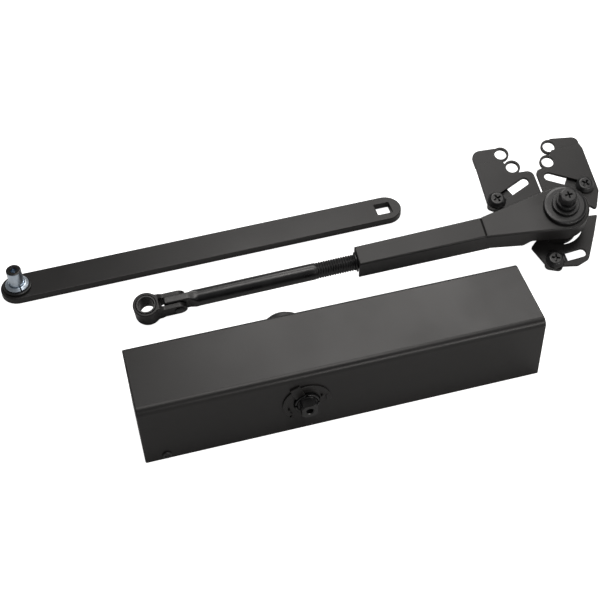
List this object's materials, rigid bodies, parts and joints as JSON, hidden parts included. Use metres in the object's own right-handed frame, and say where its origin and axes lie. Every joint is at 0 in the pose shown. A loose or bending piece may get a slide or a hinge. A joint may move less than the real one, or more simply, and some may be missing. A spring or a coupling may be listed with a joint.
{
  "type": "door closer",
  "caption": "Full-cover surface door closer with a square spindle end, a flat main arm with a stud, and a telescoping forearm with a three-plate shoe, laid out unassembled.",
  "frame": {"origin": "middle of the back face of the closer, which goes against the door", "axes": "+X along the closer cylinder towards its spring end, +Y towards the capped end of the spindle, +Z out of the door"},
  "size_m": [0.5123, 0.2304, 0.0692],
  "materials": {
    "black_coat": "satin black coating",
    "black_steel": "black oxide, slightly oiled",
    "zinc": "bright zinc plate, slightly blue",
    "cast_iron": "cast and machined",
    "steel": "turned",
    "spring_steel": "oil-tempered wire",
    "brass": "turned",
    "rubber": "matt",
    "black_plastic": "fine moulded grain"
  },
  "bodies": {
    "closer": {"housing": "cast_iron", "spindle_end_plug": "steel", "spring_end_plug": "steel", "pinion_bearing_front": "brass", "pinion_bearing_rear": "brass", "shaft_seal_front": "rubber", "shaft_seal_rear": "rubber", "packing_nut_front": "black_steel", "packing_nut_rear": "black_steel", "mounting_plate": "cast_iron", "body_screw_1": "black_steel", "body_screw_2": "black_steel", "body_screw_3": "black_steel", "body_screw_4": "black_steel", "cover": "black_coat", "cover_screw_front": "black_steel", "cover_screw_rear": "black_steel", "main_spring": "spring_steel"},
    "spindle": {"pinion": "black_steel"},
    "piston": {"piston": "cast_iron", "piston_check_valve": "brass"},
    "spring_seat": {"spring_seat": "steel"},
    "power_screw": {"power_screw": "steel"},
    "sweep_valve": {"sweep_valve": "brass"},
    "latch_valve": {"latch_valve": "brass"},
    "backcheck_valve": {"backcheck_valve": "brass"},
    "spindle_cap": {"spindle_cap": "black_plastic"},
    "main_arm": {"main_arm_bar": "black_coat", "arm_stud": "zinc", "stud_flange": "zinc", "stud_washer": "black_steel"},
    "tube": {"forearm_tube": "black_coat", "tube_nut": "steel", "tube_end_washer": "black_steel", "pivot_bolt": "black_steel", "lock_washer": "black_steel", "pivot_collar": "black_steel", "pivot_washer": "black_steel"},
    "rod": {"threaded_rod": "black_steel", "knuckle_rivet": "black_steel"},
    "eye": {"forearm_eye": "black_coat", "eye_bushing": "black_steel"},
    "shoe": {"shoe_base": "black_coat", "pivot_bush": "black_steel", "plate_screw_left": "black_steel", "plate_screw_right": "black_steel", "plate_screw_lower": "black_steel"},
    "left_plate": {"left_plate": "black_coat"},
    "right_plate": {"right_plate": "black_coat"},
    "lower_plate": {"lower_plate": "black_coat"}
  },
  "joints": [
    {"name": "spindle_turn", "type": "hinge", "parent": "closer", "child": "spindle", "pos_m": [-0.031, 0, 0.03025], "axis": [0, 1, 0], "range_deg": [0, 180]},
    {"name": "piston_slide", "type": "slide", "parent": "closer", "child": "piston", "axis": [1, 0, 0], "range_m": [0, 0.02827], "stiffness_N_per_m": 2000, "deforming": ["main_spring"]},
    {"name": "power_screw_turn", "type": "hinge", "parent": "closer", "child": "power_screw", "pos_m": [0.12, 0, 0.03025], "axis": [1, 0, 0], "range_deg": [0, 1800]},
    {"name": "spring_seat_slide", "type": "slide", "parent": "closer", "child": "spring_seat", "axis": [-1, 0, 0], "range_m": [0, 0.0075], "deforming": ["main_spring"]},
    {"name": "sweep_valve_turn", "type": "hinge", "parent": "closer", "child": "sweep_valve", "pos_m": [-0.06, 0.014, 0.0545], "axis": [0, 0, 1], "range_deg": [-180, 180]},
    {"name": "latch_valve_turn", "type": "hinge", "parent": "closer", "child": "latch_valve", "pos_m": [0.01, 0.014, 0.0545], "axis": [0, 0, 1], "range_deg": [-180, 180]},
    {"name": "backcheck_valve_turn", "type": "hinge", "parent": "closer", "child": "backcheck_valve", "pos_m": [0.06, 0.014, 0.0545], "axis": [0, 0, 1], "range_deg": [-180, 180]},
    {"name": "spindle_cap_pull", "type": "slide", "parent": "closer", "child": "spindle_cap", "axis": [0, 1, 0], "range_m": [0, 0.03]},
    {"name": "main_arm_lift", "type": "slide", "parent": "closer", "child": "main_arm", "axis": [0, 0, 1], "range_m": [0, 0.15]},
    {"name": "forearm_lift", "type": "slide", "parent": "closer", "child": "tube", "axis": [0, 0, 1], "range_m": [0, 0.15]},
    {"name": "rod_length", "type": "slide", "parent": "tube", "child": "rod", "axis": [0.9972, -0.0402, 0.0632], "range_m": [-0.025, 0.03]},
    {"name": "eye_tilt", "type": "hinge", "parent": "rod", "child": "eye", "pos_m": [-0.10208, 0.10917, 0.01323], "axis": [0.0201, 0.9563, 0.2918], "range_deg": [-25, 25]},
    {"name": "shoe_swing", "type": "hinge", "parent": "tube", "child": "shoe", "pos_m": [0.22545, 0.10064, 0.01865], "axis": [-0.0722, -0.2897, 0.9544], "range_deg": [-120, 120]},
    {"name": "left_plate_slide", "type": "slide", "parent": "shoe", "child": "left_plate", "axis": [-0.9253, -0.3378, -0.1725], "range_m": [0, 0.028]},
    {"name": "right_plate_slide", "type": "slide", "parent": "shoe", "child": "right_plate", "axis": [0.8424, -0.53, -0.0971], "range_m": [0, 0.022]},
    {"name": "lower_plate_slide", "type": "slide", "parent": "shoe", "child": "lower_plate", "axis": [-0.9968, -0.0127, -0.0792], "range_m": [0, 0.01]}
  ],
  "couplings": [
    {"joint": "spindle_turn", "follows": "piston_slide", "rad_per_m": 111.11},
    {"joint": "power_screw_turn", "follows": "spring_seat_slide", "rad_per_m": 4188}
  ]
}
